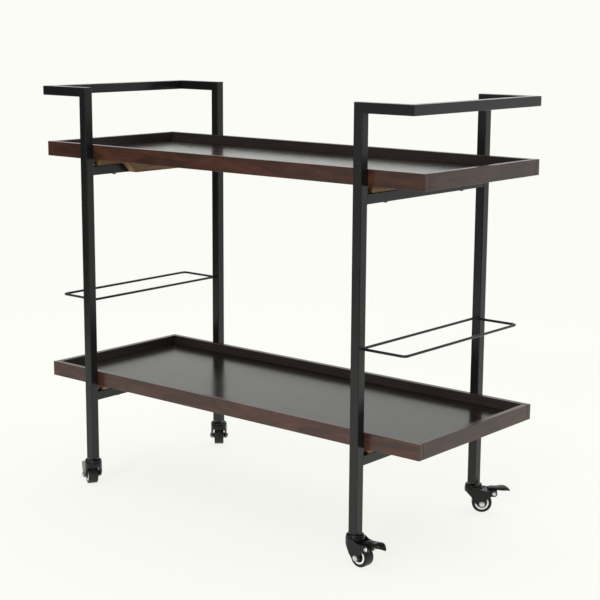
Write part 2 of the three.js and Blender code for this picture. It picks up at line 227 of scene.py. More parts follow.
def natural_wood():
    """The bearers: plain ochre softwood, with darker late wood lines and open end grain."""
    s = Shader("natural_wood")
    lay = s.stretch((30.0, 1.2, 30.0))
    rings = s.add("TexWave", wave_type="BANDS", bands_direction="DIAGONAL")
    s.feed(rings.inputs["Vector"], lay)
    rings.inputs["Scale"].default_value = 2.4
    rings.inputs["Distortion"].default_value = 5.0
    rings.inputs["Detail"].default_value = 3.0
    fibre = s.noise(7.0, 3.0, 0.6, s.stretch((120.0, 3.0, 120.0)))
    base = s.mix(rings.outputs["Fac"], colour(0.30, 0.165, 0.062), colour(0.20, 0.098, 0.034))
    grain = s.mix(s.span(fibre, 0.4, 0.7, 0.0, 0.45), base, colour(0.14, 0.07, 0.026))
    rough = s.span(fibre, 0.3, 0.7, 0.5, 0.68)
    return s.set(Base_Color=grain, Roughness=rough, Normal=s.bump(fibre, 0.0002, 0.5))


def plated_steel():
    """Bright zinc on stems, bolts, nuts, pins and screws."""
    s = Shader("bright_zinc")
    cloud = s.noise(160.0, 3.0)
    fine = s.noise(1800.0, 2.0)
    tone = s.mix(cloud, colour(0.56, 0.58, 0.60), colour(0.72, 0.73, 0.73))
    rough = s.math("ADD", s.span(cloud, 0.3, 0.7, 0.18, 0.30), s.span(fine, 0.3, 0.7, 0.0, 0.06))
    return s.set(
        Base_Color=tone, Roughness=rough, Metallic=1.0, Normal=s.bump(fine, 0.00003, 0.3)
    )


def gloss_black(name, low, high, peel_depth):
    """Black moulded or dipped skin: nearly smooth, with faint clouding of the gloss."""
    s = Shader(name)
    cloud = s.noise(60.0, 3.0)
    peel = s.noise(700.0, 2.0)
    tone = s.mix(cloud, colour(0.0035, 0.0035, 0.004), colour(0.007, 0.007, 0.007))
    rough = s.span(cloud, 0.3, 0.7, low, high)
    bumps = s.bump(peel, peel_depth, 0.5)
    return s.set(Base_Color=tone, Roughness=rough, Normal=bumps, Specular_IOR_Level=0.28)


def tyre_rubber():
    """Black polyurethane: satin, a little dusty, with a fine moulded texture."""
    s = Shader("black_polyurethane")
    cloud = s.noise(90.0, 3.0)
    marks = s.noise(900.0, 2.0, 0.5)
    tone = s.mix(s.span(cloud, 0.35, 0.7), colour(0.007, 0.007, 0.0075), colour(0.014, 0.014, 0.014))
    rough = s.span(cloud, 0.3, 0.7, 0.36, 0.5)
    bumps = s.bump(marks, 0.00006, 0.4)
    return s.set(Base_Color=tone, Roughness=rough, Normal=bumps, Specular_IOR_Level=0.3)


def bright_ring():
    """The white enamelled ring on each face of a wheel."""
    s = Shader("bright_ring")
    cloud = s.noise(220.0, 2.0)
    tone = s.mix(cloud, colour(0.84, 0.84, 0.82), colour(0.93, 0.93, 0.91))
    rough = s.span(cloud, 0.3, 0.7, 0.2, 0.32)
    return s.set(Base_Color=tone, Roughness=rough)


def weld_metal_painted_highlight():
    """Weld beads under the same powder coat: a touch rougher and lumpier than the tube, and painted
    about three times lighter than the coat as a painted highlight on beads and seams.
    """
    s = Shader("coated_weld_painted_highlight")
    lumps = s.noise(420.0, 3.0)
    # painted highlight: the weld tone is lighter than the powder coat that it shares, so beads and
    # mitre seams show as lit lines
    tone = s.mix(lumps, colour(0.018, 0.018, 0.017), colour(0.040, 0.040, 0.038))
    rough = s.span(lumps, 0.3, 0.7, 0.36, 0.5)
    return s.set(Base_Color=tone, Roughness=rough, Normal=s.bump(lumps, 0.0003, 0.5))


def studio_floor():
    """A pale paper floor, lit evenly, that fades out beyond the cart."""
    s = Shader("studio_floor")
    cloud = s.noise(0.8, 2.0)
    tone = s.mix(cloud, colour(0.150, 0.151, 0.143), colour(0.154, 0.155, 0.147))
    s.set(Base_Color=tone, Roughness=1.0, Specular_IOR_Level=0.0)
    s.set(Emission_Color=PAPER, Emission_Strength=FLOOR_GLOW)
    distance = s.add("VectorMath", operation="LENGTH")
    s.feed(distance.inputs[0], s.place)
    fade = s.span(distance.outputs["Value"], FLOOR_SOLID, FLOOR_EDGE)
    mix = s.add("MixShader")
    s.feed(mix.inputs["Fac"], fade)
    s.tree.links.new(s.skin.outputs["BSDF"], mix.inputs[1])
    s.tree.links.new(s.add("BsdfTransparent").outputs["BSDF"], mix.inputs[2])
    output = next(node for node in s.tree.nodes if node.type == "OUTPUT_MATERIAL")
    s.tree.links.new(mix.outputs["Shader"], output.inputs["Surface"])
    return s.material


STEEL = coated_steel()
BOARD_X = stained_board("x")
BOARD_Y = stained_board("y")
VENEER = dark_veneer()
OCHRE = natural_wood()
ZINC = plated_steel()
CASTER_BLACK = gloss_black("caster_black", 0.18, 0.30, 0.00006)
PLASTIC = gloss_black("black_plastic", 0.26, 0.38, 0.00008)
TYRE = tyre_rubber()
RING = bright_ring()
WELD = weld_metal_painted_highlight()
SCREW_BLACK = gloss_black("black_screw", 0.24, 0.34, 0.00003)


# ------------------------------------------------------------------ mesh building

FLAT_SHARP = 30.0  # degrees between faces, past which an edge of a flat plate stays sharp
WELD_NEAR = 0.002  # points of a CAD mesh nearer than this are one point

def piece(name, vertices, faces, material, sharp):
    """A mesh object from points in millimetres, with edges sharper than an angle kept sharp."""
    mesh = bpy.data.meshes.new(name)
    mesh.from_pydata([Vector(v) * MM for v in vertices], [], faces)
    tidy(mesh, sharp)
    mesh.materials.append(material)
    made = bpy.data.objects.new(name, mesh)
    bpy.context.scene.collection.objects.link(made)
    return made


def settle(made, matrix):
    """Moves a piece's mesh, not its object, so that its box is square to the cart."""
    made.data.transform(matrix)
    return made


def tidy(mesh, sharp):
    """Joins double points, turns faces outward and marks the edges that stay sharp."""
    bm = bmesh.new()
    bm.from_mesh(mesh)
    bmesh.ops.remove_doubles(bm, verts=bm.verts, dist=1e-7)
    bmesh.ops.recalc_face_normals(bm, faces=bm.faces)
    limit = math.radians(sharp)
    for face in bm.faces:
        face.smooth = True
    for edge in bm.edges:
        edge.smooth = len(edge.link_faces) == 2 and edge.calc_face_angle() < limit
    bm.to_mesh(mesh)
    bm.free()


def bevel(made, width, segments=3, angle=40.0):
    modifier = made.modifiers.new("edges", "BEVEL")
    modifier.width = width * MM
    modifier.segments = segments
    modifier.limit_method = "ANGLE"
    modifier.angle_limit = math.radians(angle)
    weighted = made.modifiers.new("normals", "WEIGHTED_NORMAL")
    weighted.keep_sharp = True
    return made


def dress(name, material, width, segments=3):
    """A CAD node as it is, with its own material and its sharp edges slightly rounded."""
    node = NODES[name]
    mesh = node.data
    mesh.materials.clear()
    mesh.materials.append(material)
    normals = mesh.attributes.get("custom_normal")
    if normals is not None:
        mesh.attributes.remove(normals)
    mesh.polygons.foreach_set("use_smooth", [True] * len(mesh.polygons))
    weld = node.modifiers.new("join", "WELD")
    weld.merge_threshold = WELD_NEAR * MM
    bevel(node, width, segments)


def ring_faces(rings, count):
    """Quads between rings of equal count; a ring of one point is a pole."""
    faces = []
    for a, b in zip(rings, rings[1:]):
        for i in range(count):
            j = (i + 1) % count
            if len(a) == 1:
                faces.append((a[0], b[i], b[j]))
            elif len(b) == 1:
                faces.append((a[i], b[0], a[j]))
            else:
                faces.append((a[i], b[i], b[j], a[j]))
    return faces


def turned(name, profile, material, matrix, axis="Z", steps=72, sharp=35.0, closed=False):
    """A body of revolution from (radius, height) points. A third value of 1 makes that ring a
    hexagon, and the radius is then half its width across flats."""
    vertices = []
    rings = []
    for point in profile:
        radius, height = point[:2]
        hexagon = point[2] if len(point) > 2 else 0
        if radius == 0:
            rings.append([len(vertices)])
            vertices.append((0, 0, height))
            continue
        start = len(vertices)
        for i in range(steps):
            angle = 2 * math.pi * i / steps
            turn = (angle % (math.pi / 3)) - math.pi / 6
            r = radius / math.cos(turn) if hexagon else radius
            vertices.append((r * math.cos(angle), r * math.sin(angle), height))
        rings.append(list(range(start, start + steps)))
    if closed:
        rings.append(rings[0])
    if axis == "Y":
        vertices = [(x, z, -y) for x, y, z in vertices]
    made = piece(name, vertices, ring_faces(rings, steps), material, sharp)
    return settle(made, matrix)


def slab(name, outline, y0, y1, material, matrix=None):
    """An outline in x and z given thickness along y."""
    count = len(outline)
    vertices = [(x, y0, z) for x, z in outline] + [(x, y1, z) for x, z in outline]
    faces = [tuple(range(count)), tuple(range(2 * count - 1, count - 1, -1))]
    for i in range(count):
        j = (i + 1) % count
        faces.append((i, j, j + count, i + count))
    return settle(piece(name, vertices, faces, material, FLAT_SHARP), matrix or Matrix())


class Outline:
    """Points of a flat outline, drawn with lines, curves and arcs."""

    def __init__(self, x, z):
        self.points = [(x, z)]

    def line(self, x, z):
        self.points.append((x, z))
        return self

    def curve(self, cx, cz, x, z, steps=8):
        x0, z0 = self.points[-1]
        for i in range(1, steps + 1):
            t = i / steps
            a, b, c = (1 - t) ** 2, 2 * t * (1 - t), t * t
            self.points.append((a * x0 + b * cx + c * x, a * z0 + b * cz + c * z))
        return self

    def arc(self, cx, cz, radius, start, end, steps=16):
        for i in range(steps + 1):
            angle = math.radians(start + (end - start) * i / steps)
            self.points.append((cx + radius * math.cos(angle), cz + radius * math.sin(angle)))
        return self


def swept(name, stations, material, closed, count=20, sharp=60.0):
    """A tube through stations of (centre, outward, sideways, radius), in millimetres."""
    vertices = []
    rings = []
    for centre, out, side, radius in stations:
        start = len(vertices)
        for i in range(count):
            angle = 2 * math.pi * i / count
            vertices.append(centre + (out * math.cos(angle) + side * math.sin(angle)) * radius)
        rings.append(list(range(start, start + count)))
    faces = ring_faces(rings + rings[:1] if closed else rings, count)
    if not closed:
        faces += [tuple(rings[0]), tuple(reversed(rings[-1]))]
    return piece(name, vertices, faces, material, sharp)


def joined(name, parts):
    """Several mesh objects made into one."""
    bpy.ops.object.select_all(action="DESELECT")
    for part in parts:
        part.select_set(True)
    bpy.context.view_layer.objects.active = parts[0]
    bpy.ops.object.join()
    parts[0].name = name
    return parts[0]


# ------------------------------------------------------------------ frame and trays


def dress_frame():
    for end in ("right", "left"):
        for side in ("front", "rear"):
            dress(f"{end}_{side}_leg", STEEL, 0.25, 2)
            dress(f"{end}_{side}_handle_arm", STEEL, 0.25, 2)
        dress(f"{end}_handle_grip", STEEL, 0.25, 2)
        for level in ("upper", "lower"):
            dress(f"{end}_{level}_cross_bar", STEEL, 0.25, 2)


def dress_trays():
    for level in ("upper", "lower"):
        for side in ("front", "rear"):
            dress(f"{level}_tray_{side}_rim", BOARD_X, 0.9, 4)
        for side in ("left", "right"):
            dress(f"{level}_tray_{side}_rim", BOARD_Y, 0.9, 4)
            dress(f"{level}_tray_{side}_bearer", OCHRE, 0.6, 3)
        dress(f"{level}_tray_panel", VENEER, 0.3, 2)


WIRE_RADIUS = 2.5
WIRE_BEND = 8.0  # at the rod's centre line


def wire_rail(end):
    """The rod of a wire rail, round and evenly bent, in place of the faceted CAD loop."""
    low, high = (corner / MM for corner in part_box(f"{end}_wire_rail"))
    radius = WIRE_RADIUS
    bend = WIRE_BEND
    steps = 12
    middle = (low + high) / 2
    half = (high - low) / 2 - Vector((radius, radius, 0))
    up = Vector((0, 0, 1))
    stations = []
    for corner in range(4):
        sign_x = 1 if corner in (0, 3) else -1
        sign_y = 1 if corner < 2 else -1
        centre = middle + Vector((sign_x * (half.x - bend), sign_y * (half.y - bend), 0))
        for i in range(steps + 1):
            angle = math.pi / 2 * (corner + i / steps)
            out = Vector((math.cos(angle), math.sin(angle), 0))
            stations.append((centre + out * bend, out, up, radius))
    rail = swept(f"{end}_wire_rod", stations, STEEL, closed=True, count=24)
    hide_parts(f"{end}_wire_rail")
    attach(rail, FRAME_BODY)


# ------------------------------------------------------------------ casters

WHEEL_HALF = 10.4
ARM_INNER = 14.0
ARM_OUTER = 18.0
CROWN_LOW = 42.0
CROWN_TOP = 46.7
CROWN_FRONT = 28.0
HOUSING_TOP = 59.4
LEG_FOOT = 61.0
AXLE_BOSS = 6.6
PIVOT = (41.0, 42.0)
PIVOT_BOSS = 6.3
WRAP_STEP = 3.0  # width of the strips that bend an arm round the housing


def caster_place(name):
    """The caster's own frame: on the floor under the stem, x along the trail."""
    stem = Vector(JOINTS[f"{name}_swivel"]["pos_m"])
    axle = Vector(JOINTS[f"{name}_roll"]["pos_m"])
    trail = Vector((axle.x - stem.x, axle.y - stem.y, 0))
    x = trail.normalized()
    z = Vector((0, 0, 1))
    matrix = Matrix((x, z.cross(x), z)).transposed().to_4x4()
    matrix.translation = (stem.x, stem.y, 0)
    return matrix, trail.length / MM, axle.z / MM


def arm_outline(trail, radius, brake):
    """Broad shoulder under the housing, narrow at the axle, with an ear for a pedal's pivot."""
    path = Outline(2, 53.5).curve(-9, 53.5, -14, 49, 6).curve(-18, 45, -15.5, 42, 6)
    path.curve(-5, 36, -1, 27).curve(3, 19, trail - 3.8, radius - 5.4)
    path.arc(trail, radius, AXLE_BOSS, -125, 15)
    if brake:
        path.curve(28, 34, 36, 35.6).arc(*PIVOT, PIVOT_BOSS, -90, 90).curve(34, 47.4, 28, 46.9)
    else:
        path.curve(30, 31, 32, 39).curve(32.5, 45, 28, 46.9)
    return path.line(16.5, 48.4).curve(10, 53.5, 3, 53.5, 6).points


def wrap_round(arm):
    """Bends the part of an arm behind the stem round the housing, which is round from above."""
    bm = bmesh.new()
    bm.from_mesh(arm.data)
    for step in range(6):
        everything = bm.verts[:] + bm.edges[:] + bm.faces[:]
        place = Vector((-WRAP_STEP * step * MM, 0, 0))
        bmesh.ops.bisect_plane(bm, geom=everything, plane_co=place, plane_no=(1, 0, 0))
    for vertex in bm.verts:
        if vertex.co.x < 0:
            angle = -vertex.co.x / (ARM_OUTER * MM)
            reach = vertex.co.y
            vertex.co.x = -abs(reach) * math.sin(angle)
            vertex.co.y = reach * math.cos(angle)
    bm.to_mesh(arm.data)
    bm.free()
    return arm


def fork(name, matrix, trail, radius, brake):
    """The pressed fork: two arms, the swivel housing with its groove, and the crown."""
    outline = arm_outline(trail, radius, brake)
    arms = []
    for side, y0, y1 in (("near", -ARM_OUTER, -ARM_INNER), ("far", ARM_INNER, ARM_OUTER)):
        arm = wrap_round(slab(f"{name}_fork_{side}_arm", outline, y0, y1, CASTER_BLACK))
        arms.append(bevel(settle(arm, matrix), 0.9, 3))
    top = HOUSING_TOP
    skirt = turned(
        f"{name}_fork_housing",
        [
            (5, CROWN_LOW), (16.8, CROWN_LOW), (17.7, CROWN_LOW + 0.7), (18, CROWN_LOW + 2),
            (18, top - 7.6), (17.7, top - 6.8), (16.9, top - 6.4), (16.7, top - 5.8),
            (17.0, top - 5.2), (17.3, top - 4.4), (17.2, top - 3.4), (16.8, top - 2.5),
            (15.9, top - 1.5), (14.5, top - 0.6), (12.8, top), (10.2, top), (9.6, top - 0.5),
            (9.3, top - 1.6), (5, top - 1.8),
        ],
        CASTER_BLACK, matrix, sharp=50.0, closed=True,
    )
    # the crown bridges the arms over the wheel
    arch = Outline(-ARM_OUTER + 0.5, CROWN_LOW).line(-ARM_OUTER + 0.5, CROWN_TOP - 2.5)
    arch.arc(-ARM_OUTER + 3, CROWN_TOP - 2.5, 2.5, 180, 90, 6)
    arch.arc(ARM_OUTER - 3, CROWN_TOP - 2.5, 2.5, 90, 0, 6).line(ARM_OUTER - 0.5, CROWN_LOW)
    turn = matrix @ Matrix.Rotation(math.radians(90), 4, "Z")
    crown = slab(f"{name}_fork_crown", arch.points, -CROWN_FRONT, 0, CASTER_BLACK, turn)
    bevel(crown, 1.0, 3)
    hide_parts(f"{name}_caster_fork")
    for part in [skirt, crown, *arms]:
        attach(part, f"{name}_swivel_fork")


def stem(name, matrix):
    """The riveted foot, collar and threaded end of a caster's stem."""
    collar = HOUSING_TOP + 0.3
    profile = [
        (0, 39.6), (5.4, 39.6), (6.4, 40.0), (6.8, 40.8), (6.6, 41.5), (4, 41.5),
        (4, collar), (7.9, collar), (8.5, collar + 0.3), (8.5, collar + 0.7),
        (7.9, collar + 1.0), (4, collar + 1.0),
    ]
    thread_low, thread_high, pitch = LEG_FOOT + 0.2, LEG_FOOT + 17, 1.25
    height = thread_low
    while height < thread_high:
        profile += [(3.5, height), (4, height + pitch / 2)]
        height += pitch
    profile += [(3.3, LEG_FOOT + 18), (0, LEG_FOOT + 18)]
    made = turned(f"{name}_stem", profile, ZINC, matrix, steps=40, sharp=40.0)
    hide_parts(f"{name}_caster_stem")
    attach(made, FRAME_BODY)


def axle_bolt(name, matrix, trail, radius):
    """Hexagon bolt head and nut outside the arms, with chamfers, a washer and a domed end."""
    centre = matrix @ Matrix.Translation((trail * MM, 0, radius * MM))
    face = ARM_OUTER + 0.3
    flat = 4.8
    profile = [(0, -face - 2.6), (3.9, -face - 2.6), (flat, -face - 2.1, 1), (flat, -face - 0.5, 1)]
    profile += [(5.5, -face - 0.5), (5.5, -face), (3, -face), (3, face), (5.5, face)]
    profile += [(5.5, face + 0.5), (flat, face + 0.5, 1), (flat, face + 2.1, 1)]
    profile += [(3.9, face + 2.6), (3, face + 2.6), (2.9, face + 3.2), (2.2, face + 3.5)]
    profile += [(0, face + 3.6)]
    made = turned(f"{name}_axle", profile, ZINC, centre, axis="Y", steps=72, sharp=28.0)
    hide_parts(f"{name}_axle_bolt")
    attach(made, f"{name}_swivel_fork")


def wheel(name, matrix, trail, radius):
    """A round-shouldered tyre on a ribbed hub, with a white ring on each face."""
    centre = matrix @ Matrix.Translation((trail * MM, 0, radius * MM))
    w = WHEEL_HALF
    shoulder = 2.6
    tread = [(15.2, -w)]
    for i in range(9):
        angle = math.radians(90 * i / 8)
        drop, inset = shoulder * (1 - math.sin(angle)), shoulder * (1 - math.cos(angle))
        tread.append((radius - drop, -w + inset))
    half = [tread[0], (15.9, -w + 0.35), (16.6, -w)] + tread[1:]
    crown = [(radius, 0)]
    profile = half + crown + [(r, -y) for r, y in reversed(half)]
    tyre = turned(
        f"{name}_tyre_skin", profile, TYRE, centre, axis="Y", steps=96, sharp=50.0, closed=True
    )
    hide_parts(f"{name}_tyre")
    hub_half = [
        (3.3, -13.6), (5.2, -13.6), (5.8, -13.1), (6, -12.2), (6.2, -9.4), (7.0, -8.6),
        (10.0, -8.4), (10.3, -8.0), (14.0, -8.0), (14.05, -9.8), (14.6, -9.9), (14.95, -9.6),
        (14.95, -7.4),
    ]
    hub = turned(
        f"{name}_hub_core", hub_half + [(r, -y) for r, y in reversed(hub_half)],
        PLASTIC, centre, axis="Y", steps=72, sharp=40.0, closed=True,
    )
    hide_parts(f"{name}_wheel_hub")
    made = [tyre, hub]
    for side, sign in (("near", -1), ("far", 1)):
        ring = [
            (10.35, 7.9), (10.35, 9.8), (10.7, 10.4), (11.4, 10.65),
            (12.9, 10.65), (13.6, 10.4), (13.95, 9.8), (13.95, 7.9),
        ]
        profile = [(r, sign * y) for r, y in ring]
        trim = turned(
            f"{name}_{side}_ring", profile, RING, centre, axis="Y", steps=96, sharp=50.0,
            closed=True,
        )
        made.append(trim)
        ribs = []
        for i in range(6):
            turn = centre @ Matrix.Rotation(math.radians(60 * i + 15), 4, "Y")
            rib = Outline(5.5, -0.8).line(10.4, -0.6).line(10.4, 0.6).line(5.5, 0.8).points
            y0, y1 = sorted((sign * 8.0, sign * 9.5))
            ribs.append(slab(f"{name}_{side}_rib_{i}", rib, y0, y1, PLASTIC, turn))
        web = joined(f"{name}_{side}_hub_ribs", ribs)
        bevel(web, 0.3, 2)
        made.append(web)
    for part in made:
        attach(part, f"{name}_wheel")


PEDAL_STATIONS = (
    # along the trail, top, bottom, half width
    (30.3, 50.6, 48.4, 8.2),
    (31.0, 52.0, 47.8, 8.6),
    (34.0, 52.7, 47.4, 8.8),
    (39.0, 52.6, 47.0, 8.7),
    (45.0, 52.5, 46.6, 8.8),
    (50.0, 53.0, 46.2, 10.4),
    (55.0, 53.8, 45.8, 11.8),
    (60.0, 54.0, 45.6, 11.4),
    (64.5, 53.0, 45.4, 9.0),
    (68.5, 50.8, 44.9, 6.0),
    (71.5, 48.1, 44.0, 3.4),
    (73.6, 45.3, 43.2, 1.2),
)


def pedal(name, matrix):
    """The foot pedal: a smooth leaf-shaped tread on a lug, with grip ridges near its tip."""
    count = 24
    vertices = []
    rings = []
    for x, top, bottom, half in PEDAL_STATIONS:
        start = len(vertices)
        for i in range(count):
            angle = 2 * math.pi * i / count
            c, s = math.cos(angle), math.sin(angle)
            y = half * math.copysign(abs(c) ** 0.55, c)
            z = (top + bottom) / 2 + (top - bottom) / 2 * math.copysign(abs(s) ** 0.55, s)
            vertices.append((x, y, z))
        rings.append(list(range(start, start + count)))
    faces = ring_faces(rings, count) + [tuple(rings[0]), tuple(reversed(rings[-1]))]
    tread = piece(f"{name}_pedal_tread", vertices, faces, PLASTIC, 75.0)
    settle(tread, matrix)
    tread.modifiers.new("smooth", "SUBSURF").levels = 1
    tread.modifiers["smooth"].render_levels = 1
    lug_path = Outline(34.8, 48).line(47.2, 48).line(47.2, PIVOT[1])
    lug_path.arc(*PIVOT, PIVOT_BOSS - 0.1, 0, -100).line(35.2, 31.8).line(34.4, 40)
    lug = bevel(slab(f"{name}_pedal_lug", lug_path.points, -8.6, 8.6, PLASTIC, matrix), 0.9, 3)
    ridges = []
    for x, top, half in ((55.5, 53.9, 8.2), (59.0, 54.25, 8.4), (62.5, 53.7, 7.6)):
        stations = []
        for i in range(9):
            t = -1 + i / 4
            sag = 1.5 * t * t
            centre = Vector((x - 0.8 * t * t, half * t, top - 0.35 - sag * 0.5))
            thick = 0.75 * (1.05 - 0.6 * t**4)
            stations.append((centre, Vector((1, 0, 0)), Vector((0, 0, 1)), thick))
        ridges.append(swept(f"{name}_ridge", stations, PLASTIC, closed=False, count=10))
    grip = joined(f"{name}_pedal_ridges", ridges)
    settle(grip, matrix)
    strip_path = Outline(47.9, 46.4).line(47.35, 46.4).line(47.35, PIVOT[1])
    strip_path.arc(*PIVOT, PIVOT_BOSS, 0, -62, 8).arc(*PIVOT, PIVOT_BOSS + 0.55, -62, 0, 8)
    strip = slab(f"{name}_brake_spring", strip_path.points, -1.7, 1.7, ZINC, matrix)
    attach(strip, f"{name}_pedal")
    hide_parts(f"{name}_brake_pedal")
    for part in (tread, lug, grip):
        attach(part, f"{name}_pedal")
    centre = matrix @ Matrix.Translation((PIVOT[0] * MM, 0, PIVOT[1] * MM))
    face = ARM_OUTER + 0.2
    end = [(0, face + 1.6), (1.2, face + 1.6), (2.6, face + 1.35), (3.6, face + 0.8), (4.05, face)]
    profile = [(r, -y) for r, y in end] + [(2, -face), (2, face)]
    profile += list(reversed(end))
    pin = turned(f"{name}_pin", profile, ZINC, centre, axis="Y", steps=40, sharp=50.0)
    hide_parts(f"{name}_pedal_pin")
    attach(pin, f"{name}_swivel_fork")


def caster(name):
    matrix, trail, radius = caster_place(name)
    brake = f"{name}_brake" in JOINTS
    dress(f"{name}_leg_plug", PLASTIC, 0.3, 2)
    stem(name, matrix)
    fork(name, matrix, trail, radius, brake)
    axle_bolt(name, matrix, trail, radius)
    wheel(name, matrix, trail, radius)
    if brake:
        pedal(name, matrix)


# ------------------------------------------------------------------ screws and welds

SCREW_OFFSET = 121.0  # from the middle of a cross bar


def tray_screws():
    """Button-head screws with a hexagon socket, two up through each cross bar."""
    for end in ("right", "left"):
        for level in ("upper", "lower"):
            low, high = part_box(f"{end}_{level}_cross_bar")
            middle = (low + high) / 2
            for side, sign in (("front", -1), ("rear", 1)):
                place = Matrix.Translation((middle.x, middle.y + sign * SCREW_OFFSET * MM, low.z))
                profile = [
                    (0, -1.4), (1.3, -1.4, 1), (1.5, -2.9, 1), (1.9, -3.0), (2.9, -2.75),
                    (4.1, -2.0), (4.9, -1.1), (5.25, -0.3), (5.2, 0.02), (0, 0.02),
                ]
                screw = turned(
                    f"{end}_{level}_{side}_screw", profile, SCREW_BLACK, place, steps=36, sharp=40.0
                )
                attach(screw, FRAME_BODY)


def bead(name, points, radius, normal, seed):
    """A weld bead along points: a thin rippled tube, half sunk in the corner that it fills."""
    stations = []
    along = 0.0
    for i, point in enumerate(points):
        if i:
            along += (point - points[i - 1]).length
        ahead = points[min(i + 1, len(points) - 1)] - points[max(i - 1, 0)]
        direction = ahead.normalized()
        side = direction.cross(normal).normalized()
        lump = noise.noise(Vector((along * 0.35, seed, 0.0)))
        ripple = math.sin(along * 3.4 + seed)
        r = radius * (1 + 0.22 * lump + 0.08 * ripple)
        if i in (0, len(points) - 1):
            r *= 0.35
        stations.append((point, side, normal.normalized(), r))
    # the bead takes the weld tone, painted lighter than the coat as a highlight
    return swept(name, stations, WELD, closed=False, count=10)


def line_points(start, end, pitch=0.9):
    steps = max(2, int((end - start).length / pitch))
    return [start.lerp(end, i / steps) for i in range(steps + 1)]


def frame_welds(end):
    """Beads where the cross bars, the wire rail and the handle meet the legs of one end."""
    beads = []
    out = 1 if end == "right" else -1
    for level in ("upper", "lower"):
        low, high = (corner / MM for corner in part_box(f"{end}_{level}_cross_bar"))
        for y in (low.y, high.y):
            inward = Vector((0, 1 if y == low.y else -1, 0))
            for x, facing in ((low.x, -1), (high.x, 1)):
                a = Vector((x - facing * 0.6, y, low.z + 2.5))
                b = Vector((x - facing * 0.6, y, high.z - 2.5))
                sign = Vector((facing, 0, 0)) + inward
                beads.append(bead("bead", line_points(a, b), 1.3, sign, x + y))
            a = Vector((low.x + 2.5, y, low.z + 0.5))
            b = Vector((high.x - 2.5, y, low.z + 0.5))
            beads.append(bead("bead", line_points(a, b), 1.3, inward - Vector((0, 0, 1)), y))
    # inside corner of each leg and handle arm
    for side in ("front", "rear"):
        low, high = (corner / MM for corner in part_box(f"{end}_{side}_leg"))
        arm_low, _ = (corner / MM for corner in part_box(f"{end}_{side}_handle_arm"))
        x = high.x if out > 0 else low.x
        a = Vector((x + out * 0.2, low.y + 2, arm_low.z - 0.2))
        b = Vector((x + out * 0.2, high.y - 2, arm_low.z - 0.2))
        beads.append(bead("bead", line_points(a, b), 1.5, Vector((out, 0, -1)), low.y))
    # wire rail against the legs' inner faces, above and below the rod
    low, high = (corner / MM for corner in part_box(f"{end}_wire_rail"))
    z = (low.z + high.z) / 2
    leg_low, leg_high = (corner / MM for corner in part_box(f"{end}_front_leg"))
    for y, inward in ((low.y, 1), (high.y, -1)):
        x0, x1 = leg_low.x + 8, leg_high.x - 0.8
        if out < 0:
            x0, x1 = leg_low.x + 0.8, leg_high.x - 8
        for up in (-1, 1):
            a = Vector((x0, y + inward * 0.5, z + up * 1.7))
            b = Vector((x1, y + inward * 0.5, z + up * 1.7))
            beads.append(bead("bead", line_points(a, b, 0.6), 1.1, Vector((0, inward, up)), y + up))
    welds = joined(f"{end}_frame_welds", beads)
    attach(welds, FRAME_BODY)


MITRE_INSET = 0.12  # the fill stays this far inside the tube's skin
MITRE_HALF = 0.13  # half the width of the gap that it fills


def mitre_fill(name, tube, centre, normal, along, across):
    """The ground-flush weld that closes a mitre: a thin plate a hair inside the tube's skin."""
    half = tube / 2 - MITRE_INSET
    corner = TUBE_CORNER
    count = 5
    stretch = math.sqrt(2)
    outline = []
    for quarter in range(4):
        sign_x = 1 if quarter in (0, 3) else -1
        sign_y = 1 if quarter < 2 else -1
        for i in range(count):
            angle = math.pi / 2 * (quarter + i / (count - 1))
            outline.append(
                (
                    sign_x * (half - corner) + corner * math.cos(angle),
                    sign_y * (half - corner) + corner * math.sin(angle),
                )
            )
    vertices = []
    for offset in (-MITRE_HALF, MITRE_HALF):
        for u, v in outline:
            vertices.append(centre + along * (u * stretch) + across * v + normal * offset)
    total = len(outline)
    faces = [tuple(range(total)), tuple(range(2 * total - 1, total - 1, -1))]
    for i in range(total):
        j = (i + 1) % total
        faces.append((i, j, j + total, i + total))
    # the fill takes the weld tone, a painted highlight line along the mitre seam
    return piece(name, vertices, faces, WELD, FLAT_SHARP)


def mitre_welds(end):
    """The fills of one end's four mitres: two at the legs' tops and two at the grip's corners."""
    out = 1 if end == "right" else -1
    plates = []
    grip_low, grip_high = (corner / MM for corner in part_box(f"{end}_handle_grip"))
    grip = (grip_low + grip_high) / 2
    for side, sign in (("front", -1), ("rear", 1)):
        low, high = (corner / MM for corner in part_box(f"{end}_{side}_leg"))
        tube = high.y - low.y
        x, y = (low.x + high.x) / 2, (low.y + high.y) / 2
        leg_top = Vector((x, y, grip.z))
        normal = Vector((out, 0, 1)).normalized()
        along = Vector((out, 0, -1)).normalized()
        plates.append(mitre_fill("plate", tube, leg_top, normal, along, Vector((0, 1, 0))))
        corner = Vector((grip.x, y, grip.z))
        normal = Vector((out, -sign, 0)).normalized()
        along = Vector((out, sign, 0)).normalized()
        plates.append(mitre_fill("plate", tube, corner, normal, along, Vector((0, 0, 1))))
    fill = joined(f"{end}_mitre_welds", plates)
    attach(fill, FRAME_BODY)


# ------------------------------------------------------------------ studio


def studio():
    bpy.ops.mesh.primitive_plane_add(size=2 * (FLOOR_EDGE + FLOOR_MARGIN), location=(0, 0, 0))
    floor = bpy.context.active_object
    floor.name = "studio_floor"
    floor.data.materials.append(studio_floor())
    room()
    sun("window", towards=(0.25, -0.9, 0.45), strength=1.0, spread=14.0)
    area_light("softbox", location=(0.55, -2.2, 1.0), size=0.9, power=12.0)
    area_light("fill", location=(-1.1, -2.3, 0.35), size=1.0, power=1.2)
    bpy.context.scene.view_settings.view_transform = "Standard"


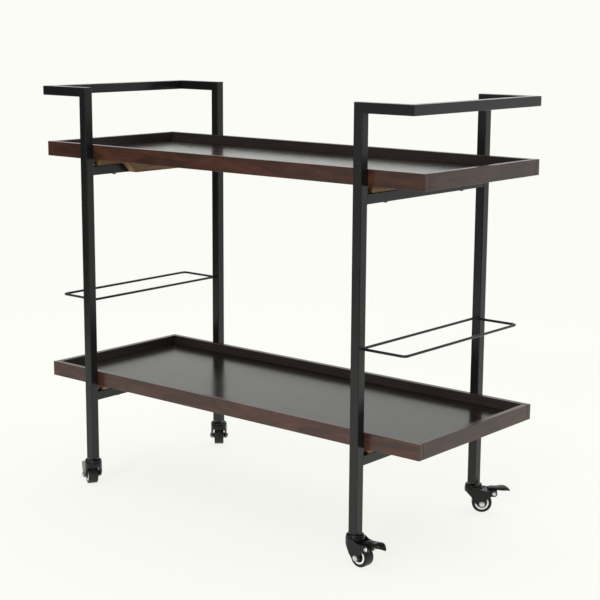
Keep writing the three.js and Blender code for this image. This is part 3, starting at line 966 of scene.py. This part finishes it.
def room():
    """The camera sees white paper. The cart is lit by soft light overhead and by bright paper
    low behind it, less bright to the right and higher up, in a dim room."""
    world = bpy.data.worlds.new("studio")
    bpy.context.scene.world = world
    world.use_nodes = True
    tree = world.node_tree
    tree.nodes.clear()

    def node(kind, **settings):
        made = tree.nodes.new("ShaderNode" + kind)
        for key, value in settings.items():
            setattr(made, key, value)
        return made

    def rise(source, low, high, top):
        """0 below low, top above high, smooth between."""
        made = node("MapRange", interpolation_type="SMOOTHSTEP")
        tree.links.new(source, made.inputs["Value"])
        made.inputs["From Min"].default_value = low
        made.inputs["From Max"].default_value = high
        made.inputs["To Max"].default_value = top
        return made.outputs["Result"]

    def combine(operation, a, b):
        made = node("Math", operation=operation)
        for socket, value in zip(made.inputs, (a, b)):
            if isinstance(value, float):
                socket.default_value = value
            else:
                tree.links.new(value, socket)
        return made.outputs[0]

    axes = node("SeparateXYZ")
    tree.links.new(node("TexCoord").outputs["Generated"], axes.inputs[0])
    backdrop = rise(axes.outputs["Y"], 0.05, 0.7, 1.35)
    dim_right = combine("SUBTRACT", 1.0, rise(axes.outputs["X"], 0.0, 0.7, 0.5))
    dim_high = combine("SUBTRACT", 1.0, rise(axes.outputs["Z"], 0.06, 0.26, 0.5))
    behind = combine("MULTIPLY", backdrop, combine("MULTIPLY", dim_right, dim_high))
    above = rise(axes.outputs["Z"], 0.45, 0.85, 1.1)
    level = combine("ADD", combine("ADD", behind, above), ROOM_DIM)
    seen = node("Background")
    seen.inputs["Color"].default_value = PAPER
    lighting = node("Background")
    lighting.inputs["Color"].default_value = (0.98, 1.0, 0.97, 1.0)
    tree.links.new(level, lighting.inputs["Strength"])
    mix = node("MixShader")
    tree.links.new(node("LightPath").outputs["Is Camera Ray"], mix.inputs["Fac"])
    tree.links.new(lighting.outputs[0], mix.inputs[1])
    tree.links.new(seen.outputs[0], mix.inputs[2])
    tree.links.new(mix.outputs[0], node("OutputWorld").inputs["Surface"])


def sun(name, towards, strength, spread):
    light = bpy.data.lights.new(name, "SUN")
    light.energy = strength
    light.angle = math.radians(spread)
    lamp = bpy.data.objects.new(name, light)
    lamp.rotation_mode = "QUATERNION"
    lamp.rotation_quaternion = Vector(towards).to_track_quat("Z", "Y")
    bpy.context.scene.collection.objects.link(lamp)


def area_light(name, location, size, power):
    """A round softbox that looks at the middle of the cart and doesn't light the floor."""
    light = bpy.data.lights.new(name, "AREA")
    light.shape = "DISK"
    light.size = size
    light.energy = power
    lamp = bpy.data.objects.new(name, light)
    lamp.location = location
    aim = LIGHTS_LOOK_AT - lamp.location
    lamp.rotation_mode = "QUATERNION"
    lamp.rotation_quaternion = aim.to_track_quat("-Z", "Y")
    bpy.context.scene.collection.objects.link(lamp)
    unlit = bpy.data.collections.new(name + "_skips")
    unlit.objects.link(bpy.data.objects["studio_floor"])
    unlit.collection_objects[0].light_linking.link_state = "EXCLUDE"
    lamp.light_linking.receiver_collection = unlit


def camera():
    """From the front right, a little above and a touch rolled; no shift, no depth of field."""
    azimuth = math.radians(CAMERA_AZIMUTH)
    elevation = math.radians(CAMERA_ELEVATION)
    roll = math.radians(CAMERA_ROLL)
    level = math.cos(elevation)
    back = Vector((math.sin(azimuth) * level, -math.cos(azimuth) * level, math.sin(elevation)))
    right = Vector((math.cos(azimuth), math.sin(azimuth), 0))
    up = back.cross(right)
    view_right = right * math.cos(roll) + up * math.sin(roll)
    view_up = back.cross(view_right)
    low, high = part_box("upper_tray_panel")
    mid_plane = (low.y + high.y) / 2
    data = bpy.data.cameras.new("camera")
    data.sensor_width = SENSOR_WIDTH
    data.lens = CAMERA_LENS
    data.clip_start, data.clip_end = CLIP_NEAR, CLIP_FAR
    made = bpy.data.objects.new("camera", data)
    place = Matrix((view_right, view_up, back)).transposed().to_4x4()
    place.translation = CAMERA_FROM_CART + Vector((0, mid_plane, 0))
    made.matrix_world = place
    bpy.context.scene.collection.objects.link(made)
    bpy.context.scene.camera = made


# ------------------------------------------------------------------ the whole scene

camera()
studio()
dress_frame()
dress_trays()
for end in ("right", "left"):
    wire_rail(end)
    frame_welds(end)
    mitre_welds(end)
for corner in ("front_right", "rear_right", "front_left", "rear_left"):
    caster(corner)
tray_screws()
